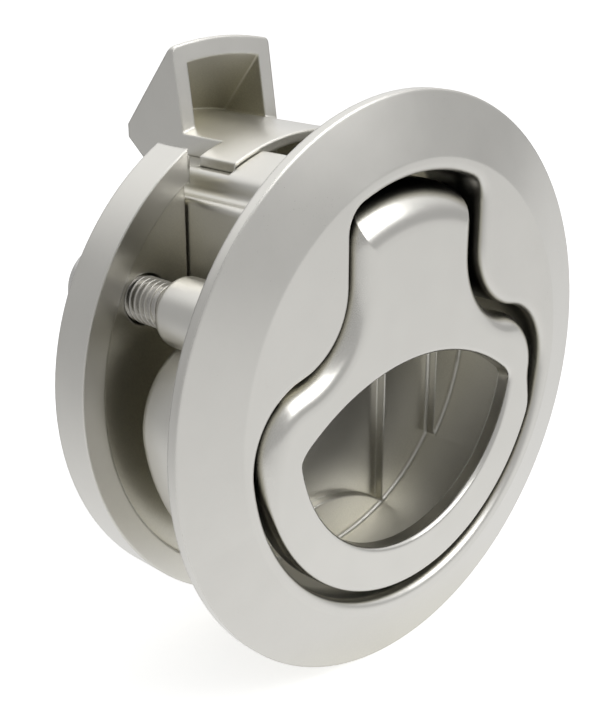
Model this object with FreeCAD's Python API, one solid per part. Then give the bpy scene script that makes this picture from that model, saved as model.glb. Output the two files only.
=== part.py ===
"""Flush-pull slam latch for a round panel hole, in millimetres.

X points right as seen from the front, Y points into the panel and Z points up, the way the bolt
throws. The origin is on the axis of the round flange, in the plane of the flange's back face.
"""
import FreeCAD, Part
import math
import os
from FreeCAD import Vector

# Flange and front
flange_radius = 31.0
flange_rim = 1.1            # thickness left at the outer edge of the cone
flange_front = 3.15         # from the back face to the flat circle
cone_width = 6.45           # from the flange's edge in to the flat circle
flat_border = 1.45          # from the flat circle's edge in to the opening

# Bell-shaped opening: a round lobe below, a waist and a neck above
neck_half_width = 10.35
neck_corner = 3.0
shoulder_radius = 8.0
shoulder_angle = -7.6       # degrees, where the shoulder leaves the lobe
waist_radius = 8.0
opening_lip = 0.9

# Finger cup behind the opening
cup_wall = 1.25
cup_floor = 10.3
cup_thickness = 2.7         # from the floor to the back of the cup
cup_back_round = 1.2
pad_step = 1.3              # the side pads stand this far in front of the cup floor
pad_width = 4.8             # from the lobe's side in to the edge of a pad
well_depth = 1.1            # the middle of the cup floor is set back by this
well_side_gap = 0.05        # the well is this much narrower than the neck, each side
well_top = 3.2
well_border = 5.7           # from the lobe's lowest point up to the well
well_bow = 17.2             # radius of the well's lower edge
cup_fillet = 0.45           # where the floor and the pads meet their walls

# Channel that carries the bolt
channel_wall = 3.47         # beside the bolt's wings, in the wide part
crown_wall = 1.47           # beside the bolt's wings, in the crown
crown_inset = 6.05          # from the flange's edge in to the top of the crown
crown_blend = 1.0           # concave, between the crown's sides and the wide part
crown_round = 1.6           # along the crown's upper corners
channel_round = 0.8         # along the wide part's upper edges
channel_shoulder_drop = 2.13  # from the crown's outer corner down to the wide part
guide_wall_drop = 2.75      # the walls beside the wings end this far below the crown
channel_floor_wall = 1.8
front_slot_half_width = 6.55
front_slot_start = 5.5
front_slot_rise = 0.1       # from the hinge axis to the bottom of the slot
arm_slot_side_gap = 1.3
arm_slot_drop = 12.3        # from the hinge axis to the bottom of the slot

# Bolt, with its depths counted from the front of the roof plate
bolt_travel = 8.8
bolt_half_width = 7.12
bolt_plate = 1.1
bolt_plate_stand = 0.45     # the roof plate stands this far above the crown
bolt_body_start = 0.4
bolt_depth = 11.4
bolt_face_step = 0.4        # from the bolt's back to the foot of the wedge
bolt_nose_step = 1.4        # from the foot of the wedge to its nose
bolt_nose_flat = 0.35
bolt_ramp = 7.85
bolt_heel_edge = 1.4
bolt_heel_inset = 2.4
bolt_heel_web = 7.8         # height of the web that joins the heel to the bolt's back
bolt_wall = 1.8
bolt_corner = 0.7
bolt_sector = 40.0          # degrees each side of the middle that the wedge is turned through
wing_half_width = 10.25
wing_depth = 5.4
bead_radius = 0.75
bead_inset = 1.0
bolt_rear_wall = 1.4
bolt_block = 5.0            # height of the cross block that holds the spring
bolt_block_gap = 0.4        # from the block to the drive pin
guide_rib = 1.7
guide_rib_drop = 4.8

# Handle
handle_gap = 1.2
handle_corner = 4.8
handle_back = 2.2
handle_round = 2.6
handle_roll = 4.5           # along the top end, about the latch axis
handle_wall = 2.3
handle_skin = 1.9
finger_border = 6.1         # from the lobe's edge in to the finger hole
finger_top = 4.5
finger_bow = 26.0           # radius of the finger hole's upper edge
finger_corner = 2.5
finger_lip = 0.6

# Hinge and drive arm
pin_radius = 1.6
pin_edge = 0.3
pin_y = 1.85
pin_drop = 6.2              # from the top of the opening down to the hinge axis
pin_end_inset = 0.7
barrel_radius = 5.6
arm_half_width = 3.2
arm_half_height = 1.4
arm_angle = 15.0            # degrees below level when the latch is shut
arm_tip_gap = 0.87          # from the arm's tip to the bolt's rear wall
drive_pin_radius = 1.2
drive_pin_step = 2.4        # from the front of the roof plate to the drive pin
drive_pin_inset = 0.1
drive_gap = 0.3

# Springs
return_wire = 0.7
return_coil_radius = 2.35
return_turns = 2.6
return_leg = 8.4
return_pocket = 2.2
return_pocket_gap = 0.1
bolt_wire = 0.9
bolt_coil_radius = 2.85
bolt_turns = 6.5
spring_step = 3.5           # from the drive pin back to the spring
spring_seat = 3.0           # depth of the spring seat in the channel floor
spring_room = 1.6           # height of the spring inside the cross block below its roof

# Clamp ring and its screws
ring_inset = 2.33           # the ring is this much smaller than the flange
ring_front = 15.85
ring_thickness = 5.1
ring_lip = 2.8              # width of the raised rim that bears on the panel
ring_recess = 0.75
ring_edge = 0.4
ring_gap = 0.25             # each side of the channel
lug_reach = 0.8
lug_height = 2.8
lug_inset = 4.67
screw_side_step = 1.25      # the screws sit beside the waist: this far out from its centre
screw_drop = 3.39           # and this far below it
screw_radius = 2.45
screw_hole_radius = 2.75
screw_engagement = 7.8
screw_lead = 0.5
head_radius = 4.6
head_height = 3.6
head_round = 1.3
socket_across = 3.0
socket_depth = 2.0
boss_radius = 3.65
boss_end = 11.3
boss_round = 1.0
boss_floor = 2.0
boss_web = 1.3

# Clearances
side_gap = 0.18
floor_gap = 0.6
front_gap = 0.2
running_gap = 0.05
spring_gap = 0.15
overcut = 1.0               # how far a cut starts outside the face that it opens
tolerance = 0.0001          # edges this close to a place are taken to lie in it
reach = 200.0               # longer than the latch, for cuts that pass right through it

# Places worked out from the sizes above
flat_radius = flange_radius - cone_width
lobe_radius = flat_radius - flat_border
crown_radius = flange_radius - crown_inset
ring_radius = flange_radius - ring_inset
cup_back = cup_floor + cup_thickness
finger_radius = lobe_radius - finger_border
pin_z = lobe_radius - pin_drop
shoulder_x = (lobe_radius - shoulder_radius) * math.cos(math.radians(shoulder_angle))
shoulder_z = (lobe_radius - shoulder_radius) * math.sin(math.radians(shoulder_angle))
waist_x = neck_half_width + waist_radius
waist_z = shoulder_z + math.sqrt((shoulder_radius + waist_radius) ** 2 - (waist_x - shoulder_x) ** 2)
screw_x = waist_x + screw_side_step
screw_z = waist_z - screw_drop

plate_top = crown_radius + bolt_plate_stand
plate_underside = plate_top - bolt_plate
nose_radius = plate_top + bolt_travel
plate_front = cup_back + front_gap
wing_rear = plate_front + wing_depth
bolt_front = plate_front + bolt_body_start
bolt_rear = plate_front + bolt_depth
bolt_web = bolt_rear - bolt_rear_wall
wedge_foot = bolt_rear + bolt_face_step
nose_front = wedge_foot + bolt_nose_step
nose_rear = nose_front + bolt_nose_flat
heel = nose_rear + bolt_ramp
window_half_width = bolt_half_width - bolt_wall

arm_length = (bolt_web - arm_tip_gap - pin_y) / math.cos(math.radians(arm_angle))
drive_pin_y = plate_front + drive_pin_step
drive_offset = arm_half_height + drive_gap + drive_pin_radius
drive_pin_z = (pin_z - (drive_pin_y - pin_y) * math.tan(math.radians(arm_angle))
               - drive_offset / math.cos(math.radians(arm_angle)))
block_top = drive_pin_z - drive_pin_radius - bolt_block_gap
block_bottom = block_top - bolt_block
channel_floor = block_bottom - bolt_travel - floor_gap
channel_bottom = channel_floor - spring_seat - channel_floor_wall
chamber_half_width = wing_half_width + side_gap
channel_half_width = chamber_half_width + channel_wall
crown_half_width = chamber_half_width + crown_wall
spring_y = drive_pin_y + spring_step
spring_bottom = channel_floor - spring_seat
spring_top = block_top - spring_room
spring_hole_radius = bolt_coil_radius + bolt_wire
pocket_start = arm_half_width + return_pocket_gap

ring_back = ring_front + ring_thickness
ring_floor = ring_front + ring_recess
notch_half_width = channel_half_width + ring_gap


def box(x0, x1, y0, y1, z0, z1):
    """A box between two corners."""
    return Part.makeBox(x1 - x0, y1 - y0, z1 - z0, Vector(x0, y0, z0))


def side_box(side, x0, x1, y0, y1, z0, z1):
    """A box on one side of the middle plane: side is 1 for the right and -1 for the left."""
    return box(min(side * x0, side * x1), max(side * x0, side * x1), y0, y1, z0, z1)


def wide_box(half_width, y0, y1, z0, z1):
    """A box that is symmetric about the middle plane x = 0."""
    return box(-half_width, half_width, y0, y1, z0, z1)


def rod_along_y(radius, x, z, y0, y1):
    """A round bar along the depth of the latch."""
    return Part.makeCylinder(radius, y1 - y0, Vector(x, y0, z), Vector(0, 1, 0))


def rod_along_x(radius, y, z, half_length):
    """A round bar across the latch, centred on the middle plane."""
    return Part.makeCylinder(radius, 2 * half_length, Vector(-half_length, y, z), Vector(1, 0, 0))


def turned(profile, start=0.0, sweep=360.0):
    """A solid of revolution about the latch axis, from (y, radius) points."""
    points = [Vector(0, y, radius) for y, radius in profile]
    face = Part.Face(Part.makePolygon(points + points[:1]))
    face.rotate(Vector(0, 0, 0), Vector(0, 1, 0), start)
    return face.revolve(Vector(0, 0, 0), Vector(0, 1, 0), sweep)


def side_profile(points, half_width):
    """A prism across the latch, from (y, z) points."""
    corners = [Vector(-half_width, y, z) for y, z in points]
    face = Part.Face(Part.makePolygon(corners + corners[:1]))
    return face.extrude(Vector(2 * half_width, 0, 0))


def arc(centre_x, centre_z, radius, start, end, y):
    """An arc in a plane of constant y, with its angles in radians."""
    angles = (start, (start + end) / 2, end)
    points = [Vector(centre_x + radius * math.cos(angle), y, centre_z + radius * math.sin(angle))
              for angle in angles]
    return Part.Arc(*points).toShape()


def both_sides(edges):
    """The given edges and their mirror images in the plane x = 0, joined into one wire."""
    mirrored = [edge.mirror(Vector(0, 0, 0), Vector(1, 0, 0)) for edge in edges]
    return Part.Wire(Part.__sortEdges__(edges + mirrored))


def bell(inset, corner, y0, y1):
    """The bell outline, smaller by inset all round, as a solid from y0 to y1."""
    lobe = lobe_radius - inset
    neck = neck_half_width - inset
    shoulder = shoulder_radius - inset
    waist = waist_radius + inset
    leave = math.radians(shoulder_angle)
    meet = math.atan2(waist_z - shoulder_z, waist_x - shoulder_x)
    corner_x = neck - corner
    corner_z = math.sqrt((lobe - corner) ** 2 - corner_x ** 2)
    top = math.atan2(corner_z, corner_x)
    half = [
        arc(0, 0, lobe, -math.pi / 2, leave, y0),
        arc(shoulder_x, shoulder_z, shoulder, leave, meet, y0),
        arc(waist_x, waist_z, waist, meet + math.pi, math.pi, y0),
        Part.makeLine(Vector(neck, y0, waist_z), Vector(neck, y0, corner_z)),
        arc(corner_x, corner_z, corner, 0, top, y0),
        arc(0, 0, lobe, top, math.pi / 2, y0),
    ]
    return Part.Face(both_sides(half)).extrude(Vector(0, y1 - y0, 0))


def finger_hole(y0, y1):
    """The D-shaped finger hole as a solid from y0 to y1."""
    bow_z = finger_top - finger_bow
    corner_z = (bow_z ** 2 - (finger_bow - finger_corner) ** 2
                + (finger_radius - finger_corner) ** 2) / (2 * bow_z)
    corner_x = math.sqrt((finger_radius - finger_corner) ** 2 - corner_z ** 2)
    low = math.atan2(corner_z, corner_x)
    high = math.atan2(corner_z - bow_z, corner_x)
    half = [
        arc(0, 0, finger_radius, -math.pi / 2, low, y0),
        arc(corner_x, corner_z, finger_corner, low, high, y0),
        arc(0, bow_z, finger_bow, high, math.pi / 2, y0),
    ]
    return Part.Face(both_sides(half)).extrude(Vector(0, y1 - y0, 0))


def near(value, place):
    """True where a coordinate lies in a place, within the tolerance."""
    return abs(value - place) < tolerance


def edges_in_plane(shape, y, half_width=reach):
    """The edges that lie in one plane of constant depth, as far out as half_width."""
    return [edge for edge in shape.Edges
            if near(edge.BoundBox.YMin, y) and near(edge.BoundBox.YMax, y)
            and edge.BoundBox.XMax < half_width and edge.BoundBox.XMin > -half_width]


def side_edges(shape, x, z):
    """The straight edges that run along the depth at x and z, on both sides."""
    return [edge for edge in shape.Edges
            if near(abs(edge.CenterOfMass.x), x) and near(edge.CenterOfMass.z, z)]


def flange():
    """The round flange: a flat circle in front and a shallow cone outside it."""
    profile = [(0, 0), (0, flange_radius), (-flange_rim, flange_radius),
               (-flange_front, flat_radius), (-flange_front, 0)]
    return turned(profile)


def cup_body():
    """The outside of the finger cup, which follows the opening at one wall's distance."""
    body = bell(-cup_wall, neck_corner + cup_wall, 0, cup_back)
    return body.makeFillet(cup_back_round, edges_in_plane(body, cup_back))


def channel_body():
    """The block that carries the bolt, with its narrower rounded crown."""
    corner = math.sqrt(crown_radius ** 2 - crown_half_width ** 2)
    shoulder = corner - channel_shoulder_drop
    base = wide_box(channel_half_width, 0, bolt_rear, channel_bottom, shoulder)
    crown = wide_box(crown_half_width, 0, bolt_rear, 0, reach)
    crown = crown.common(rod_along_y(crown_radius, 0, 0, 0, bolt_rear))
    crown = crown.makeFillet(crown_round, side_edges(crown, crown_half_width, corner))
    above_walls = wide_box(reach, cup_back, reach, crown_radius - guide_wall_drop, reach)
    body = base.fuse(crown.cut(above_walls)).removeSplitter()
    body = body.makeFillet(crown_blend, side_edges(body, crown_half_width, shoulder))
    return body.makeFillet(channel_round, side_edges(body, channel_half_width, shoulder))


def boss(side):
    """A tapped boss beside the neck, with the webs that tie it to the cup."""
    x = side * screw_x
    post = rod_along_y(boss_radius, x, screw_z, 0, boss_end)
    post = post.makeFillet(boss_round, edges_in_plane(post, boss_end))
    web = box(x - boss_web / 2, x + boss_web / 2, 0, boss_end - boss_round, 0, screw_z)
    link = side_box(side, 0, screw_x, 0, boss_end - boss_round,
                    screw_z - boss_web / 2, screw_z + boss_web / 2)
    return post.fuse([web, link])


def cup_hollow():
    """The bell-shaped hollow in front, with its side pads, floor and middle well."""
    front = bell(0, neck_corner, -flange_front, cup_floor - pad_step)
    deep = bell(0, neck_corner, -flange_front, cup_floor).common(
        wide_box(lobe_radius - pad_width, -reach, reach, -reach, reach))
    well_back = cup_floor + well_depth
    well = wide_box(neck_half_width - well_side_gap, 0, well_back, -reach, well_top)
    lower_edge = rod_along_y(well_bow, 0, well_border - lobe_radius - well_bow, 0, well_back)
    well = well.cut(lower_edge).common(rod_along_y(lobe_radius, 0, 0, 0, well_back))
    deep = deep.makeFillet(cup_fillet, edges_in_plane(deep, cup_floor))
    front = front.makeFillet(cup_fillet, edges_in_plane(front, cup_floor - pad_step))
    return front.fuse([deep, well])


def bolt_chamber():
    """The T-shaped room in which the bolt slides, with the spring seat in its floor."""
    wide = wide_box(chamber_half_width, cup_back, wing_rear + front_gap, channel_floor, reach)
    narrow = wide_box(bolt_half_width + side_gap, cup_back, reach, channel_floor, reach)
    seat = Part.makeCylinder(spring_hole_radius, spring_seat + overcut,
                             Vector(0, spring_y, spring_bottom))
    return wide.fuse([narrow, seat])


def housing():
    """Flange, finger cup, bolt channel and bosses: one casting."""
    body = flange().fuse([cup_body(), channel_body(), boss(-1), boss(1)])
    front_slot = wide_box(front_slot_half_width, front_slot_start, cup_back + overcut,
                          pin_z + front_slot_rise, reach)
    arm_slot = wide_box(arm_half_width + arm_slot_side_gap, cup_floor - overcut,
                        cup_back + overcut, pin_z - arm_slot_drop, reach)
    pin_bore = rod_along_x(pin_radius, pin_y, pin_z, reach)
    taps = [rod_along_y(screw_radius + running_gap, side * screw_x, screw_z,
                        boss_floor, ring_front) for side in (-1, 1)]
    body = body.cut([cup_hollow(), bolt_chamber(), front_slot, arm_slot, pin_bore] + taps)
    lip = edges_in_plane(body, -flange_front, lobe_radius + flat_border / 2)
    return body.makeFillet(opening_lip, lip)


def handle_outside():
    """The handle before its holes: the bell outline with a rolled hinge end."""
    plan = bell(handle_gap, handle_corner, -flange_front, pin_y + barrel_radius)
    barrel = rod_along_x(barrel_radius, pin_y, pin_z, reach)
    front_part = side_profile([(-flange_front, -reach), (-flange_front, reach),
                               (pin_y, reach), (pin_y, pin_z), (handle_back, pin_z),
                               (handle_back, -reach)], reach)
    body = plan.common(front_part.fuse(barrel))
    body = body.makeFillet(handle_round, edges_in_plane(body, -flange_front))
    disc = rod_along_y(lobe_radius - handle_gap, 0, 0, -flange_front, reach)
    disc = disc.makeFillet(handle_roll, edges_in_plane(disc, -flange_front))
    return body.common(disc.fuse(wide_box(reach, -reach, reach, -reach, waist_z)))


def handle_hollow():
    """The hollow in the handle's back, which the finger hole opens into."""
    hollow = bell(handle_gap + handle_wall, handle_corner - handle_wall,
                  -flange_front + handle_skin, reach)
    return hollow.common(wide_box(reach, -reach, reach, -reach, pin_z - barrel_radius))


def drive_arm():
    """The arm that reaches back from the hinge and bears down on the drive pin."""
    tip_y = pin_y + arm_length - arm_half_height
    arm = wide_box(arm_half_width, pin_y, tip_y, pin_z - arm_half_height, pin_z + arm_half_height)
    arm = arm.fuse(rod_along_x(arm_half_height, tip_y, pin_z, arm_half_width))
    arm.rotate(Vector(0, pin_y, pin_z), Vector(1, 0, 0), -arm_angle)
    return arm


def spring_pocket(side):
    """The room for a return spring, rounded about the hinge in front and above."""
    front = -flange_front + handle_skin
    top = pin_z + pin_y - front
    pocket = side_box(side, pocket_start, pocket_start + return_pocket, front, reach,
                      pin_z - barrel_radius - overcut, top)
    corner = [edge for edge in pocket.Edges
              if near(edge.CenterOfMass.y, front) and near(edge.CenterOfMass.z, top)]
    return pocket.makeFillet(pin_y - front, corner)


def pull_handle():
    """The bell-shaped pull with its finger hole, hinge ears and drive arm."""
    holes = [handle_hollow(), finger_hole(-reach, reach), spring_pocket(-1), spring_pocket(1)]
    body = handle_outside().cut(holes)
    lip = [edge for edge in edges_in_plane(body, -flange_front, finger_radius + finger_lip)
           if edge.BoundBox.ZMax < finger_top + finger_lip]
    body = body.makeFillet(finger_lip, lip)
    bore = rod_along_x(pin_radius + running_gap, pin_y, pin_z, reach)
    return body.fuse(drive_arm()).cut(bore)


def hinge_pin():
    """The pin that carries the handle, pressed into the channel's side walls."""
    pin = rod_along_x(pin_radius, pin_y, pin_z, channel_half_width - pin_end_inset)
    ends = [edge for edge in pin.Edges if edge.BoundBox.XLength < tolerance]
    return pin.makeChamfer(pin_edge, ends)


def coil(radius, wire, turns, length):
    """A coil of round wire about +Z, from the origin."""
    helix = Part.makeHelix(length / turns, length, radius)
    profile = Part.Wire(Part.makeCircle(wire / 2, Vector(radius, 0, 0), Vector(0, 1, 0)))
    return Part.Wire(helix.Edges).makePipeShell([profile], True, True)


def return_spring(side):
    """A torsion spring on the hinge pin, beside the drive arm."""
    start = pocket_start + (return_pocket - return_turns * return_wire) / 2
    spring = coil(return_coil_radius, return_wire, return_turns, (return_turns - 1) * return_wire)
    spring.rotate(Vector(0, 0, 0), Vector(0, 1, 0), 90)
    spring.translate(Vector(start + return_wire / 2, pin_y, pin_z))
    leg = Part.makeCylinder(return_wire / 2, return_leg,
                            Vector(start + (return_turns - 0.5) * return_wire, pin_y,
                                   pin_z - return_coil_radius), Vector(0, 1, 0))
    spring = spring.fuse(leg)
    if side < 0:
        spring = spring.mirror(Vector(0, 0, 0), Vector(1, 0, 0))
    return spring


def wedge_outline():
    """The wedge seen from the front: straight sides under a round top with small corners."""
    corner_x = bolt_half_width - bolt_corner
    corner_z = math.sqrt((nose_radius - bolt_corner) ** 2 - corner_x ** 2)
    top = math.atan2(corner_z, corner_x)
    half = [
        Part.makeLine(Vector(0, 0, 0), Vector(bolt_half_width, 0, 0)),
        Part.makeLine(Vector(bolt_half_width, 0, 0), Vector(bolt_half_width, 0, corner_z)),
        arc(corner_x, corner_z, bolt_corner, 0, top, 0),
        arc(0, 0, nose_radius, top, math.pi / 2, 0),
    ]
    return Part.Face(both_sides(half)).extrude(Vector(0, reach, 0))


def wedge_hollow():
    """The hollow in the front of the wedge, which leaves an even wall under its ramp."""
    rise = nose_radius - plate_top
    back = heel - bolt_wall * math.hypot(bolt_ramp, rise) / rise
    profile = [(0, plate_top), (back, plate_top), (back - bolt_ramp, nose_radius), (0, nose_radius)]
    opening = wide_box(window_half_width, bolt_rear, reach, 0, reach)
    return turned(profile, -bolt_sector, 2 * bolt_sector).common(opening)


def wedge():
    """The slam wedge and roof plate, turned about the latch axis and sawn to width."""
    heel_low = plate_top - bolt_heel_edge
    web_low = plate_underside - bolt_heel_web
    profile = [(plate_front, plate_underside), (plate_front, plate_top), (wedge_foot, plate_top),
               (nose_front, nose_radius), (nose_rear, nose_radius), (heel, plate_top),
               (heel, heel_low), (heel - bolt_heel_inset, heel_low - bolt_wall),
               (bolt_rear, web_low), (bolt_web, web_low), (bolt_web, plate_underside)]
    wings = wide_box(wing_half_width, 0, wing_rear, 0, reach)
    body = turned(profile, -bolt_sector, 2 * bolt_sector).common(wings.fuse(wedge_outline()))
    return body.cut(wedge_hollow())


def latch_bolt():
    """The slam bolt: hollow wedge, roof plate with wings, cheeks and spring block."""
    under_plate = rod_along_y(plate_underside + bolt_plate / 2, 0, 0, 0, reach)
    cheeks = [side_box(side, window_half_width, bolt_half_width, bolt_front, bolt_rear,
                       block_bottom, reach).common(under_plate) for side in (-1, 1)]
    back = wide_box(bolt_half_width, bolt_web, bolt_rear, block_bottom, reach).common(under_plate)
    ribs = wide_box(wing_half_width, wing_rear - guide_rib, wing_rear,
                    block_bottom, plate_underside - guide_rib_drop)
    ribs = ribs.cut(wide_box(window_half_width, 0, reach, 0, reach))
    block = wide_box(bolt_half_width, bolt_front, bolt_rear, block_bottom, block_top)
    bead_x = wing_half_width - bead_radius
    bead_z = math.sqrt(plate_underside ** 2 - bead_x ** 2)
    beads = [rod_along_y(bead_radius, side * bead_x, bead_z,
                         plate_front + bead_inset, wing_rear - bead_inset) for side in (-1, 1)]
    body = wedge().fuse(cheeks + [ribs, block, back] + beads)
    spring_bore = Part.makeCylinder(spring_hole_radius, reach, Vector(0, spring_y, spring_top - reach))
    pin_bore = rod_along_x(drive_pin_radius, drive_pin_y, drive_pin_z, reach)
    return body.cut([spring_bore, pin_bore]).removeSplitter()


def drive_pin():
    """The cross pin in the bolt that the handle's arm bears on."""
    return rod_along_x(drive_pin_radius, drive_pin_y, drive_pin_z, bolt_half_width - drive_pin_inset)


def bolt_spring():
    """The compression spring that throws the bolt."""
    length = spring_top - spring_bottom - 2 * spring_gap - bolt_wire
    spring = coil(bolt_coil_radius, bolt_wire, bolt_turns, length)
    spring.translate(Vector(0, spring_y, spring_bottom + spring_gap + bolt_wire / 2))
    return spring


def clamp_ring():
    """The ring behind the panel, open at the top so that it passes the bolt."""
    body = rod_along_y(ring_radius, 0, 0, ring_front, ring_back)
    body = body.makeChamfer(ring_edge, edges_in_plane(body, ring_back))
    recess = rod_along_y(ring_radius - ring_lip, 0, 0, ring_front - overcut, ring_floor)
    notch = wide_box(notch_half_width, ring_front - overcut, ring_back + overcut,
                     channel_bottom - ring_gap, reach)
    lug_top = ring_radius - lug_inset
    lugs = [side_box(side, notch_half_width - lug_reach, notch_half_width, ring_floor, ring_back,
                     lug_top - lug_height, lug_top) for side in (-1, 1)]
    holes = [rod_along_y(screw_hole_radius, side * screw_x, screw_z,
                         ring_front - overcut, ring_back + overcut) for side in (-1, 1)]
    return body.cut([recess, notch]).fuse(lugs).cut(holes).removeSplitter()


def clamp_screw(side):
    """A pan-head screw from behind the ring into its boss."""
    tip = boss_end - screw_engagement
    head_end = ring_back + head_height
    x = side * screw_x
    shank = rod_along_y(screw_radius, x, screw_z, tip, ring_back)
    shank = shank.makeChamfer(screw_lead, edges_in_plane(shank, tip))
    head = rod_along_y(head_radius, x, screw_z, ring_back, head_end)
    head = head.makeFillet(head_round, edges_in_plane(head, head_end))
    corner_radius = socket_across / 2 / math.cos(math.pi / 6)
    corners = [Vector(x + corner_radius * math.cos(turn * math.pi / 3), head_end,
                      screw_z + corner_radius * math.sin(turn * math.pi / 3)) for turn in range(6)]
    socket = Part.Face(Part.makePolygon(corners + corners[:1])).extrude(Vector(0, -socket_depth, 0))
    return shank.fuse(head).cut(socket)


pieces = {
    "housing": housing(),
    "pull_handle": pull_handle(),
    "hinge_pin": hinge_pin(),
    "return_spring_left": return_spring(-1),
    "return_spring_right": return_spring(1),
    "latch_bolt": latch_bolt(),
    "drive_pin": drive_pin(),
    "bolt_spring": bolt_spring(),
    "clamp_ring": clamp_ring(),
    "clamp_screw_left": clamp_screw(-1),
    "clamp_screw_right": clamp_screw(1),
}

os.makedirs("parts", exist_ok=True)
for name, shape in pieces.items():
    shape.exportStep("parts/" + name + ".step")
    print(name, "solids", len(shape.Solids), "volume", round(shape.Volume, 1), "valid", shape.isValid())
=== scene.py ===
# %% [markdown]
# A flush-pull slam latch, dressed for the camera.
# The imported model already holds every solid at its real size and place, so this lesson adds what a
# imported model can't: metal that looks like metal, screw threads, soft studio light and a camera.
# Everything is in metres, with X right, Y into the panel and Z up, the way the bolt throws.

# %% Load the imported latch
import math

import bmesh
import bpy
from mathutils import Matrix, Vector


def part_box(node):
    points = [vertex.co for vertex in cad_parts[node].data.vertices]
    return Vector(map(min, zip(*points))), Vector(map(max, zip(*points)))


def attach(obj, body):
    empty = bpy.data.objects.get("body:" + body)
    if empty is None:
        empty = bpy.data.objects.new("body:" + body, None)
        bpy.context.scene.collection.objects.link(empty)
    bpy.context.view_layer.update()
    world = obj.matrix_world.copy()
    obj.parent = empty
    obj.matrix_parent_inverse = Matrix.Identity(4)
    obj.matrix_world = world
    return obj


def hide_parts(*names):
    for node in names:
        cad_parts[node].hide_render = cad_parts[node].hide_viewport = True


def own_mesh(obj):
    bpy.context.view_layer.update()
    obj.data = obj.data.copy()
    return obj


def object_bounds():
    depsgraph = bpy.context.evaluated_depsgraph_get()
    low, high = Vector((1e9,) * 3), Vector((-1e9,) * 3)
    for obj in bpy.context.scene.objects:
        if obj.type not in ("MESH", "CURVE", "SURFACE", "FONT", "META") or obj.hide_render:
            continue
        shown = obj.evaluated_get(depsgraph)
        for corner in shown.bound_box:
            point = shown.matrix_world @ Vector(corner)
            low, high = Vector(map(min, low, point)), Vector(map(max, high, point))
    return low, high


MM = 0.001


def in_mm(box):
    """A box's two corners in millimetres, for printing."""
    return [[round(value / MM, 2) for value in corner] for corner in box]


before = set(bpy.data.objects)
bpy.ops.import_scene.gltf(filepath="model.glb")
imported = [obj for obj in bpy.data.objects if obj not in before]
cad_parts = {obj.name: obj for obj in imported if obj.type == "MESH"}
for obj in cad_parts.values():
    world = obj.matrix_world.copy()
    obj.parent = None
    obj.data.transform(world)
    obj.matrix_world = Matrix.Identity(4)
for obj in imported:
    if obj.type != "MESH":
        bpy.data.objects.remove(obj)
cad_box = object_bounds()
print("nodes:", sorted(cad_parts))
print("box of the solids, mm:", in_mm(cad_box))

# %% [markdown]
# A material is a tree of small nodes. Written out one by one they are hard to read, so one class wraps
# a node's output and gives it Python's own signs: grain * 0.3 + 0.5 adds the two Math nodes by itself.
# A second class holds one material and makes any other node, its settings first and then its inputs.

# %% Shader sums as plain Python
class Signal:
    """One output in a material, which can be added, taken away, multiplied and divided."""

    def __init__(self, finish, socket):
        self.finish = finish
        self.socket = socket

    def joined(self, operation, first, second):
        return self.finish.node("ShaderNodeMath", {"operation": operation}, {0: first, 1: second})

    def __add__(self, other):
        return self.joined("ADD", self, other)

    def __radd__(self, other):
        return self.joined("ADD", other, self)

    def __sub__(self, other):
        return self.joined("SUBTRACT", self, other)

    def __rsub__(self, other):
        return self.joined("SUBTRACT", other, self)

    def __mul__(self, other):
        return self.joined("MULTIPLY", self, other)

    def __rmul__(self, other):
        return self.joined("MULTIPLY", other, self)

    def __truediv__(self, other):
        return self.joined("DIVIDE", self, other)

    def __rtruediv__(self, other):
        return self.joined("DIVIDE", other, self)

    def clipped(self):
        return self.finish.node("ShaderNodeClamp", inputs={"Value": self})


class Finish:
    """A material, or the sky, in the making."""

    def __init__(self, owner):
        owner.use_nodes = True
        self.owner = owner
        self.tree = owner.node_tree
        self.tree.nodes.clear()

    def node(self, kind, settings=None, inputs=None, output=0):
        made = self.tree.nodes.new(kind)
        for name, value in (settings or {}).items():
            setattr(made, name, value)
        for name, value in (inputs or {}).items():
            if isinstance(value, Signal):
                self.tree.links.new(value.socket, made.inputs[name])
            else:
                made.inputs[name].default_value = value
        return Signal(self, made.outputs[output]) if made.outputs else made

    def object_place(self):
        """Object coordinates, in metres from the latch's origin."""
        return self.node("ShaderNodeTexCoord", output=3)

    def numbers(self, vector):
        """The X, Y and Z of a vector."""
        return [self.node("ShaderNodeSeparateXYZ", inputs={0: vector}, output=axis) for axis in range(3)]

    def dotted(self, first, second):
        settings = {"operation": "DOT_PRODUCT"}
        return self.node("ShaderNodeVectorMath", settings, {0: first, 1: second}, output=1)

    def noise(self, place, scale, detail, roughness):
        return self.node("ShaderNodeTexNoise", inputs={
            "Vector": place, "Scale": scale, "Detail": detail, "Roughness": roughness})

    def blend_colours(self, share, low, high):
        """One colour that turns into another as share goes from 0 to 1."""
        return self.node("ShaderNodeMix", {"data_type": "RGBA"}, {0: share, 6: low, 7: high}, output=2)

    def blend_shaders(self, share, low, high):
        """One shader that turns into another as share goes from 0 to 1."""
        return self.node("ShaderNodeMixShader", inputs={0: share, 1: low, 2: high})

    def steel(self, colour, roughness, relief):
        """The last nodes of a metal, and the material that they belong to."""
        metal = self.node("ShaderNodeBsdfPrincipled", inputs={
            "Base Color": colour, "Metallic": 1.0, "Roughness": roughness, "Normal": relief})
        self.node("ShaderNodeOutputMaterial", inputs={"Surface": metal})
        return self.owner


print("shader sums are ready")
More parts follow.
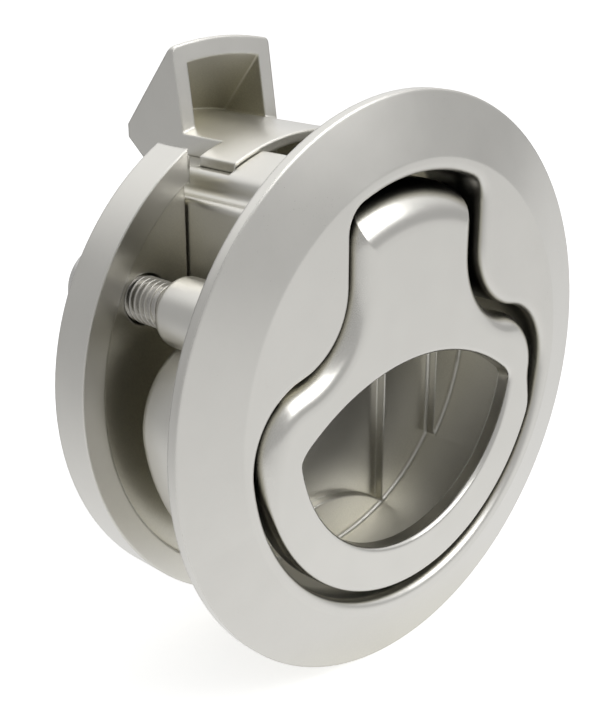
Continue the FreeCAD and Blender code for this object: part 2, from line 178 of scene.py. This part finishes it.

# %% [markdown]
# The latch is cast stainless steel, blasted with fine beads. Three scales make that finish: a grain of
# about a tenth of a millimetre that softens the gloss, a slow cloudiness of a few millimetres left by
# the casting, and edges that tumbling has rounded and polished. The Bevel node bends the normal near a
# sharp edge as a small round would, and where it bends, the same node says where the metal is worn.
# Inside the cup and behind the flange nobody has polished the casting, so it is rougher there, and
# its colour there is painted darker and more yellow as painted shade: the Ambient Occlusion node finds
# such hollows. The narrow gap round the handle is painted nearly black as its shade, and Object
# coordinates say where it is.

# %% Cast and blasted stainless steel
STEEL = (0.680, 0.668, 0.632)
CLOUD_TONES = (0.97, 1.02)
WORN_TONE = 1.15
# Painted shade: the colour of hollows, darker and more yellow, and the tones of its grain.
PAINTED_HOLLOW_SHADE = (0.650, 0.630, 0.540)
HOLLOW_SHADE_TONES = (0.7, 1.3)
# Painted shade: the near-black of the narrow gap round the handle.
PAINTED_GAP_SHADE = (0.050, 0.050, 0.045, 1.0)

CLOUDS_PER_METRE = 240.0
CLOUD_SOFTNESS = (3.0, 0.5)
CLOUD_CONTRAST = 1.6
CLOUD_START = 0.45
CLOUD_GLOSS = 0.04
GRAIN_SOFTNESS = (3.0, 0.65)
GRAIN_GLOSS = 0.10
PITS_PER_GRAIN = 0.35
PIT_SOFTNESS = (1.0, 0.5)
PIT_SHARE = 0.3
PIT_DEPTH = 0.6
BUMP_STRENGTH = 0.5

WORN_SAMPLES = 6
WORN_CONTRAST = 3.0
WORN_GLOSS = 0.04
HOLLOW_SAMPLES = 4
HOLLOW_REACH = 14 * MM
HOLLOW_CONTRAST = 1.6
HOLLOW_START = 0.4
HOLLOW_GLOSS = 0.08
HOLLOW_GRAIN = 1.5
OPEN_GRAIN = 0.5
GAP_SHADE_REACH = 2.5 * MM
GAP_SHADE_CONTRAST = 3.0

GAP_RADIUS = 23.6 * MM
GAP_PAST_HOLE = 18.5 * MM
GAP_FADE = 20.0 * MM * MM
GAP_ABOVE_HOLE = 6.0 * MM
GAP_FRONT = -1.9 * MM
GAP_BACK = 5.0 * MM
GAP_SOFTNESS = 0.8 * MM


def shade(tone, factor):
    """A colour made lighter or darker, with its fourth number for a colour socket."""
    return tuple(min(1.0, channel * factor) for channel in tone) + (1.0,)


def worn_edges(finish, radius):
    """The rounded normal, and a mask that is 1 on the edges that it rounds."""
    rounded = finish.node("ShaderNodeBevel", {"samples": WORN_SAMPLES}, {"Radius": radius})
    plain = finish.node("ShaderNodeNewGeometry", output=1)
    return rounded, ((1.0 - finish.dotted(rounded, plain)) * WORN_CONTRAST).clipped()


def depth_in(finish, distance):
    """0 in the open, and nearer to 1 the more there is within a distance in front of the surface."""
    open_share = finish.node("ShaderNodeAmbientOcclusion", {"samples": HOLLOW_SAMPLES},
                             {"Distance": distance}, output=1)
    return 1.0 - open_share


def opening_gap(finish, place):
    """1 on both sides of the narrow gap round the handle, for painted shade, not on the finger hole's
    wall.
    """
    right, into, up = finish.numbers(place)
    out = right * right + up * up
    inside = ((GAP_RADIUS ** 2 - out) / GAP_FADE).clipped()
    above_hole = ((up - GAP_ABOVE_HOLE) / GAP_SOFTNESS).clipped()
    past_hole = ((out - GAP_PAST_HOLE ** 2) / GAP_FADE).clipped()
    behind_front = ((into - GAP_FRONT) / GAP_SOFTNESS).clipped()
    before_back = ((GAP_BACK - into) / GAP_SOFTNESS).clipped()
    return inside * (above_hole + past_hole).clipped() * behind_front * before_back


def cast_steel(name, tone, gloss, grain_size, grain_depth, edge_radius):
    """Blasted steel from its tone, roughness, grain and edge radius, with painted shade in hollows and
    the gap.
    """
    finish = Finish(bpy.data.materials.new(name))
    place = finish.object_place()
    cloud = finish.noise(place, CLOUDS_PER_METRE, *CLOUD_SOFTNESS)
    grain = finish.noise(place, 1.0 / grain_size, *GRAIN_SOFTNESS)
    pits = finish.noise(place, PITS_PER_GRAIN / grain_size, *PIT_SOFTNESS)
    rounded, worn = worn_edges(finish, edge_radius)
    hollow = depth_in(finish, HOLLOW_REACH)
    # Painted shade: the narrow gap round the handle is painted nearly black.
    gap_shade = (depth_in(finish, GAP_SHADE_REACH) * opening_gap(finish, place) * GAP_SHADE_CONTRAST).clipped()

    cloudy = (cloud * CLOUD_CONTRAST - CLOUD_START + pits * PIT_SHARE).clipped()
    colour = finish.blend_colours(cloudy, *(shade(tone, factor) for factor in CLOUD_TONES))
    colour = finish.blend_colours(worn, colour, shade(tone, WORN_TONE))
    # Painted shade: hollows turn darker and more yellow, with the grain showing in that colour.
    hollow_shade_colour = finish.blend_colours(grain, *(shade(PAINTED_HOLLOW_SHADE, factor) for factor in HOLLOW_SHADE_TONES))
    colour = finish.blend_colours((hollow * HOLLOW_CONTRAST - HOLLOW_START).clipped(), colour, hollow_shade_colour)
    colour = finish.blend_colours(gap_shade, colour, PAINTED_GAP_SHADE)

    roughness = (gloss + (grain - 0.5) * GRAIN_GLOSS + (cloud - 0.5) * CLOUD_GLOSS
                 - worn * WORN_GLOSS + hollow * HOLLOW_GLOSS)
    height = (grain + pits * PIT_DEPTH) * (hollow * HOLLOW_GRAIN + OPEN_GRAIN)
    relief = finish.node("ShaderNodeBump", inputs={
        "Strength": BUMP_STRENGTH, "Distance": grain_depth, "Height": height, "Normal": rounded})
    return finish.steel(colour, roughness, relief)


blasted = cast_steel("blasted_steel", STEEL, 0.30, 0.14 * MM, 0.010 * MM, 0.40 * MM)
satin = cast_steel("satin_handle_steel", STEEL, 0.24, 0.10 * MM, 0.005 * MM, 0.25 * MM)
as_cast = cast_steel("as_cast_bolt_steel", STEEL, 0.32, 0.18 * MM, 0.014 * MM, 0.45 * MM)
print("cast finishes:", blasted.name, satin.name, as_cast.name)

# %% [markdown]
# Pins, springs and screws are drawn or rolled, not cast, so they shine more and their marks run one
# way. Noise stretched along an axis gives such marks, and the stretch is done on the coordinates.

# %% Drawn and rolled steel
MARK_SOFTNESS = (4.0, 0.6)
MARK_SHARE = 0.7
MARK_GLOSS = 0.18
MARK_TONES = (0.88, 1.1)
SPOTS_PER_METRE = 500.0
SPOT_SOFTNESS = (2.0, 0.5)
MARK_DEPTH = 0.006 * MM
MARK_STRENGTH = 0.35
DRAWN_EDGE = 0.08 * MM


def drawn_steel(name, tone, gloss, streak):
    """Bright steel with fine marks, stretched by the three numbers of streak."""
    finish = Finish(bpy.data.materials.new(name))
    place = finish.object_place()
    along = finish.node("ShaderNodeMapping", inputs={"Vector": place, "Scale": streak})
    marks = finish.noise(along, 1.0, *MARK_SOFTNESS)
    spots = finish.noise(place, SPOTS_PER_METRE, *SPOT_SOFTNESS)
    rounded, worn = worn_edges(finish, DRAWN_EDGE)
    streaked = (marks * MARK_SHARE + spots * (1 - MARK_SHARE)).clipped()
    colour = finish.blend_colours(streaked, *(shade(tone, factor) for factor in MARK_TONES))
    roughness = gloss + (marks - 0.5) * MARK_GLOSS - worn * WORN_GLOSS
    relief = finish.node("ShaderNodeBump", inputs={
        "Strength": MARK_STRENGTH, "Distance": MARK_DEPTH, "Height": marks, "Normal": rounded})
    return finish.steel(colour, roughness, relief)


pin_metal = drawn_steel("drawn_pin_steel", (0.60, 0.59, 0.57), 0.20, (400.0, 9000.0, 9000.0))
wire_metal = drawn_steel("spring_wire_steel", (0.46, 0.45, 0.43), 0.24, (6000.0, 6000.0, 6000.0))
screw_metal = drawn_steel("screw_steel", (0.66, 0.65, 0.63), 0.20, (5000.0, 5000.0, 5000.0))
print("bright finishes:", pin_metal.name, wire_metal.name, screw_metal.name)

# %% [markdown]
# A CAD node keeps its mesh and only changes its finish, so each one gets a material in its slots.

# %% Finish the CAD nodes
node_metals = {
    "housing": blasted, "clamp_ring": blasted, "pull_handle": satin, "latch_bolt": as_cast,
    "hinge_pin": pin_metal, "drive_pin": pin_metal, "bolt_spring": wire_metal,
    "return_spring_left": wire_metal, "return_spring_right": wire_metal,
}
for name, metal in node_metals.items():
    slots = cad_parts[name].data.materials
    for index in range(len(slots)):
        slots[index] = metal
    print(name, "is finished with", metal.name)

# %% [markdown]
# The handle's solid has one even round along its whole edge. On the real one that round fades out
# round the lobe, where the edge is crisp and the gap beside it narrow and dark, the lobe is a thin
# plate, and the finger hole's upper edge sits a little lower. A copy of the solid's mesh takes all
# three changes: its points move, and each keeps its old normal, because a point that slides round a
# smaller circle by the same angle faces the same way.

# %% The handle's crisp lobe
FRONT = -3.15 * MM
EDGE_RADIUS = 21.9 * MM
EVEN_ROUND = 2.6 * MM
CRISP_ROUND = 0.5 * MM
LOBE_END = math.radians(7.6)
FADE = math.radians(14)
ON_ROUND = 0.02 * MM
SLACK = 0.01 * MM

SKIN_BACK = -1.25 * MM
PLATE_SHARE = 0.3
PLATE_TOP = 1.0 * MM
PLATE_FADE = 8.0 * MM

HOLE_RADIUS = 17.7 * MM
HOLE_TOP = 5.6 * MM
HOLE_BEND = 0.0209 / MM
HOLE_DROP = 0.65 * MM
HOLE_CORNER = -3.3 * MM
HOLE_FADE = 2.5 * MM


def eased(value):
    """0 below 0, 1 above 1, and a soft step between."""
    value = min(1.0, max(0.0, value))
    return value * value * (3 - 2 * value)


def crisp_edge(spot):
    """Slides a point of the even round onto the smaller round that the lobe's edge has."""
    out = math.hypot(spot.x, spot.z)
    sideways = out - (EDGE_RADIUS - EVEN_ROUND)
    backwards = FRONT + EVEN_ROUND - spot.y
    on_round = abs(math.hypot(sideways, backwards) - EVEN_ROUND) < ON_ROUND
    if not on_round or sideways < -SLACK or backwards < -SLACK:
        return
    below = math.atan2(-spot.z, abs(spot.x)) - LOBE_END
    size = EVEN_ROUND + (CRISP_ROUND - EVEN_ROUND) * eased(below / FADE)
    turn = math.atan2(sideways, backwards)
    grown = (EDGE_RADIUS - size + size * math.sin(turn)) / out
    spot.x *= grown
    spot.z *= grown
    spot.y = FRONT + size - size * math.cos(turn)


def thin_plate(spot):
    """Brings the back of the lobe forward, up to where the handle gets deeper for its hinge."""
    if spot.y > SKIN_BACK:
        share = PLATE_SHARE + (1 - PLATE_SHARE) * eased((spot.z - PLATE_TOP) / PLATE_FADE)
        spot.y = SKIN_BACK + (spot.y - SKIN_BACK) * share


def lower_hole(spot):
    """Lowers the upper edge of the finger hole, and its corners with it."""
    inside = math.hypot(spot.x, spot.z) < HOLE_RADIUS
    under_bow = spot.z < HOLE_TOP - HOLE_BEND * spot.x * spot.x
    if inside and under_bow and spot.y < SKIN_BACK + SLACK:
        spot.z -= HOLE_DROP * eased((spot.z - HOLE_CORNER) / HOLE_FADE)


def shown_for(node, piece, body):
    """Shows a piece in the place of a CAD node."""
    bpy.context.scene.collection.objects.link(piece)
    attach(piece, body)
    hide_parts(node)
    return piece


def stand_in(node, name, body):
    """A copy of a solid's mesh, shown in the solid's place."""
    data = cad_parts[node].data.copy()
    data.name = name
    return shown_for(node, bpy.data.objects.new(name, data), body)


def crisp_handle():
    piece = stand_in("pull_handle", "crisp_handle", "handle")
    normals = [tuple(corner.vector) for corner in piece.data.corner_normals]
    for point in piece.data.vertices:
        crisp_edge(point.co)
        lower_hole(point.co)
        thin_plate(point.co)
    piece.data.normals_split_custom_set(normals)
    return piece


made = crisp_handle()
print(made.name, "has", len(made.data.polygons), "faces")

# %% [markdown]
# The bolt's spring gets shorter as the bolt goes back. A copy of its mesh stands in for it, and the
# spring's length from end to end is read off.


def pressed_spring():
    piece = stand_in("bolt_spring", "pressed_bolt_spring", "body")
    heights = [point.co.z for point in piece.data.vertices]
    length = max(heights) - min(heights)
    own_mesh(piece)
    return piece, length


made, spring_length = pressed_spring()

# %% [markdown]
# Between the bosses and the ring the clamp screws show their threads, five turns or so on each side.
# The solids are plain there, so two threaded screws stand in for them. A thread is one tooth spun
# round the axis while it also moves along it, which bmesh's spin does when it is given a step vector.
# At its start the thread gets lower towards a cone, the lead that lets a screw find its hole.

# %% The thread
PITCH = 0.8 * MM
THREAD_RADIUS = 2.45 * MM
ROOT_RADIUS = 2.03 * MM
TOOTH = [(ROOT_RADIUS, 0.0), (ROOT_RADIUS, 0.2), (THREAD_RADIUS, 0.45), (THREAD_RADIUS, 0.58),
         (ROOT_RADIUS, 0.83), (ROOT_RADIUS, 1.0)]
STEPS = 40
LEAD_SLOPE = 0.7
SAME_SPOT = PITCH / 400
ON_CUT = PITCH / 100


def thread(start, end):
    """A closed threaded shank along +Y, from start to end, with a tapered lead at its start."""
    mesh = bmesh.new()
    dots = [mesh.verts.new((radius, start - PITCH * (1.0 - share), 0.0)) for radius, share in TOOTH]
    lines = [mesh.edges.new(pair) for pair in zip(dots, dots[1:])]
    turns = math.ceil((end - start) / PITCH) + 2
    bmesh.ops.spin(mesh, geom=dots + lines, cent=(0, 0, 0), axis=(0, 1, 0),
                   dvec=(0, PITCH / STEPS, 0), angle=turns * 2 * math.pi, steps=turns * STEPS)
    bmesh.ops.remove_doubles(mesh, verts=mesh.verts, dist=SAME_SPOT)
    for place, outside in ((start, -1), (end, 1)):
        everything = mesh.verts[:] + mesh.edges[:] + mesh.faces[:]
        bmesh.ops.bisect_plane(mesh, geom=everything, plane_co=(0, place, 0),
                               plane_no=(0, outside, 0), clear_outer=True)
        rim = [edge for edge in mesh.edges if edge.is_boundary
               and all(abs(dot.co.y - place) < ON_CUT for dot in edge.verts)]
        bmesh.ops.contextual_create(mesh, geom=rim)
    for dot in mesh.verts:
        radius = math.hypot(dot.co.x, dot.co.z)
        most = ROOT_RADIUS + (dot.co.y - start) * LEAD_SLOPE
        if radius > most:
            dot.co.x *= most / radius
            dot.co.z *= most / radius
    return mesh


trial = thread(0.0, 5 * PITCH)
open_edges = sum(edge.is_boundary for edge in trial.edges)
print("five turns of thread:", len(trial.faces), "faces, open edges:", open_edges)
trial.free()

# %% [markdown]
# The head is a low round one with a hexagon socket. It starts as a disc that is extruded, its rim is
# rounded with bevel, and the socket is an inset ring of the top face whose points are moved onto a
# hexagon before they are pushed in.

# %% The socket head and the whole screw
HEAD_RADIUS = 4.6 * MM
HEAD_HEIGHT = 3.6 * MM
HEAD_ROUND = 1.3 * MM
HEAD_SIDES = 72
HEAD_ROUND_STEPS = 8
SOCKET_ACROSS = 3.0 * MM
SOCKET_DEPTH = 2.0 * MM
SOCKET_MARGIN = 1.3
SIXTH_TURN = math.pi / 3
SCREW_CREASE = math.radians(40)


def lifted(mesh, face, distance):
    """Extrudes one face along +Y and gives back the face at the far end."""
    made = bmesh.ops.extrude_face_region(mesh, geom=[face])["geom"]
    dots = [part for part in made if isinstance(part, bmesh.types.BMVert)]
    bmesh.ops.translate(mesh, verts=dots, vec=(0, distance, 0))
    bmesh.ops.delete(mesh, geom=[face], context="FACES_ONLY")
    return next(part for part in made if isinstance(part, bmesh.types.BMFace))


def hexagon_share(angle):
    """How far a hexagon's edge is from its middle, against the radius inside it."""
    return 1.0 / math.cos((angle + SIXTH_TURN / 2) % SIXTH_TURN - SIXTH_TURN / 2)


def screw_head(base):
    """A closed head along +Y from base, with a hexagon socket in its far side."""
    mesh = bmesh.new()
    turn = Matrix.Rotation(-math.pi / 2, 4, "X")
    bmesh.ops.create_circle(mesh, cap_ends=True, segments=HEAD_SIDES, radius=HEAD_RADIUS, matrix=turn)
    bmesh.ops.translate(mesh, verts=mesh.verts, vec=(0, base, 0))
    bottom = next(iter(mesh.faces))
    bottom_dots = list(bottom.verts)
    top = lifted(mesh, bottom, HEAD_HEIGHT)
    mesh.faces.new(bottom_dots)
    bmesh.ops.bevel(mesh, geom=list(top.edges), offset=HEAD_ROUND, affect="EDGES",
                    segments=HEAD_ROUND_STEPS, profile=0.5, material=-1)
    top = max(mesh.faces, key=lambda face: face.calc_center_median().y)
    across = SOCKET_ACROSS / 2
    border = HEAD_RADIUS - HEAD_ROUND - across * SOCKET_MARGIN
    bmesh.ops.inset_individual(mesh, faces=[top], thickness=border)
    for dot in top.verts:
        angle = math.atan2(dot.co.z, dot.co.x)
        reach = across * hexagon_share(angle) / math.hypot(dot.co.x, dot.co.z)
        dot.co.x *= reach
        dot.co.z *= reach
    lifted(mesh, top, -SOCKET_DEPTH)
    bmesh.ops.recalc_face_normals(mesh, faces=mesh.faces)
    return mesh


def finished_piece(name, mesh, metal, crease):
    """An object made of a bmesh, smooth except where two faces meet at more than the crease angle."""
    bmesh.ops.recalc_face_normals(mesh, faces=mesh.faces)
    for face in mesh.faces:
        face.smooth = True
    for edge in mesh.edges:
        edge.smooth = len(edge.link_faces) == 2 and edge.calc_face_angle() < crease
    data = bpy.data.meshes.new(name)
    mesh.to_mesh(data)
    mesh.free()
    data.materials.append(metal)
    return bpy.data.objects.new(name, data)


def clamp_screw(side):
    """The threaded screw of one side, in the place of its CAD node."""
    node = "clamp_screw_" + side
    low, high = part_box(node)
    base = high.y - HEAD_HEIGHT
    screw = thread(low.y, base + PITCH)
    head_data = bpy.data.meshes.new("head")
    head = screw_head(base)
    head.to_mesh(head_data)
    head.free()
    screw.from_mesh(head_data)
    bpy.data.meshes.remove(head_data)
    middle = (low + high) / 2
    bmesh.ops.translate(screw, verts=screw.verts, vec=(middle.x, 0, middle.z))
    piece = finished_piece("threaded_screw_" + side, screw, screw_metal, SCREW_CREASE)
    return shown_for(node, piece, "body")


for side in ("left", "right"):
    made = clamp_screw(side)
    print(made.name, "has", len(made.data.polygons), "faces")

# %% [markdown]
# The floor is a plain pale sheet just under the flange. To the camera it is white, through a little
# light of its own, and it keeps the latch's shadow. Metal shows what stands around it, so for the rays
# that metal sends out the floor is brightest under the latch and fades to grey further out. The sky is
# white to the camera too, and in the metal it is grey near the horizon and brighter above and behind.

# %% Floor and sky
PAPER = (0.80, 0.80, 0.79, 1.0)
FLOOR_SIZE = 4.0
FLOOR_GAP = 0.2 * MM
FLOOR_GLOW = 0.62
FLOOR_CREASE = math.radians(30)
HORIZON_LIGHT = 0.51
RIGHT_LIGHT = 0.82
RIGHT_PER_METRE = 3.5
POOL_LIGHT = 1.08
POOL_RADIUS = 75 * MM
CEILING_LIGHT = 1.12
CEILING_START = 1.1
CEILING_WAY = (1.0, 0.8, 2.5)
SOFT_SKY = 0.60
WHITE_SKY = 1.0


def white_light(finish, kind, strength):
    return finish.node(kind, inputs={"Color": (1.0, 1.0, 1.0, 1.0), "Strength": strength})


def ray_kinds(finish):
    """Two signals: 1 for rays that see a background itself, and 1 for rays that see it in metal."""
    rays = finish.tree.nodes.new("ShaderNodeLightPath")
    camera = Signal(finish, rays.outputs["Is Camera Ray"])
    through = Signal(finish, rays.outputs["Is Transmission Ray"])
    return (camera + through).clipped(), Signal(finish, rays.outputs["Is Glossy Ray"])


def pale_floor():
    finish = Finish(bpy.data.materials.new("pale_floor"))
    direct, mirrored = ray_kinds(finish)
    horizon, right_light, pool_light, glow = (
        white_light(finish, "ShaderNodeEmission", strength)
        for strength in (HORIZON_LIGHT, RIGHT_LIGHT, POOL_LIGHT, FLOOR_GLOW))
    place = finish.object_place()
    near = 1.0 / (finish.dotted(place, place) * (1.0 / POOL_RADIUS ** 2) + 1.0)
    across, depth = finish.numbers(place)[:2]
    right = ((across - depth) * RIGHT_PER_METRE + 0.5).clipped()
    pool = finish.blend_shaders(near, finish.blend_shaders(right, horizon, right_light), pool_light)
    paper = finish.node("ShaderNodeBsdfDiffuse", inputs={"Color": PAPER})
    lit = finish.node("ShaderNodeAddShader", inputs={0: paper, 1: glow})
    surface = finish.blend_shaders(mirrored, finish.blend_shaders(direct, paper, lit), pool)
    finish.node("ShaderNodeOutputMaterial", inputs={"Surface": surface})
    return finish.owner


def studio_sky(world):
    sky = Finish(world)
    direct, mirrored = ray_kinds(sky)
    horizon, ceiling, soft, white = (
        white_light(sky, "ShaderNodeBackground", strength)
        for strength in (HORIZON_LIGHT, CEILING_LIGHT, SOFT_SKY, WHITE_SKY))
    way = sky.node("ShaderNodeTexCoord")
    bright = (sky.dotted(way, CEILING_WAY) - CEILING_START).clipped()
    room = sky.blend_shaders(bright, horizon, ceiling)
    surface = sky.blend_shaders(direct, sky.blend_shaders(mirrored, soft, room), white)
    sky.node("ShaderNodeOutputWorld", inputs={"Surface": surface})


floor_height = cad_box[0].z - FLOOR_GAP
sheet = bmesh.new()
bmesh.ops.create_grid(sheet, x_segments=1, y_segments=1, size=FLOOR_SIZE)
bmesh.ops.translate(sheet, verts=sheet.verts, vec=(0, 0, floor_height))
floor = finished_piece("floor", sheet, pale_floor(), FLOOR_CREASE)
bpy.context.scene.collection.objects.link(floor)
bpy.context.scene.world = bpy.data.worlds.new("studio")
studio_sky(bpy.context.scene.world)
print("floor at", round(floor_height / MM, 2), "mm")

# %% [markdown]
# One large soft lamp hangs in front, a little to the right and 43 degrees up. Metal shows a lamp as its
# own shape, so its square face makes the bright patch on the handle's rolled end and the long gleams.

# %% Lamp
LAMP_TURN = math.radians(24)
LAMP_RISE = math.radians(43)
LAMP_DISTANCE = 0.6
LAMP_SIZE = 0.41
LAMP_POWER = 1.35
middle = (cad_box[0] + cad_box[1]) / 2
towards = Vector((math.sin(LAMP_TURN) * math.cos(LAMP_RISE), -math.cos(LAMP_TURN) * math.cos(LAMP_RISE),
                  math.sin(LAMP_RISE)))
data = bpy.data.lights.new("softbox", "AREA")
data.shape = "SQUARE"
data.size = LAMP_SIZE
data.energy = LAMP_POWER
lamp = bpy.data.objects.new("softbox", data)
bpy.context.scene.collection.objects.link(lamp)
lamp.location = middle + towards * LAMP_DISTANCE
lamp.rotation_mode = "QUATERNION"
lamp.rotation_quaternion = (-towards).to_track_quat("-Z", "Y")
print("one soft lamp at", [round(value, 3) for value in lamp.location], "m")

# %% [markdown]
# The camera stands where the photograph was taken from: left of the latch and a little above it. Its
# lens comes from the size of the flange's ellipse, and it has no shift and no depth of field.

# %% Camera
CAMERA_PLACE = (-0.093961, -0.079265, 0.047854)
CAMERA_WAY = (0.66574, 0.66187, -0.34456)
FOCAL_PIXELS = 1243.637
PICTURE_PIXELS = 600.0
SENSOR_WIDTH = 36.0
data = bpy.data.cameras.new("camera")
data.sensor_fit = "HORIZONTAL"
data.sensor_width = SENSOR_WIDTH
data.lens = FOCAL_PIXELS / PICTURE_PIXELS * SENSOR_WIDTH
data.clip_start = 0.01
data.clip_end = 20.0
camera = bpy.data.objects.new("camera", data)
bpy.context.scene.collection.objects.link(camera)
camera.location = CAMERA_PLACE
camera.rotation_mode = "QUATERNION"
camera.rotation_quaternion = Vector(CAMERA_WAY).to_track_quat("-Z", "Y")
bpy.context.scene.camera = camera
bpy.context.scene.view_settings.view_transform = "Standard"
print("lens", round(data.lens, 2), "mm")
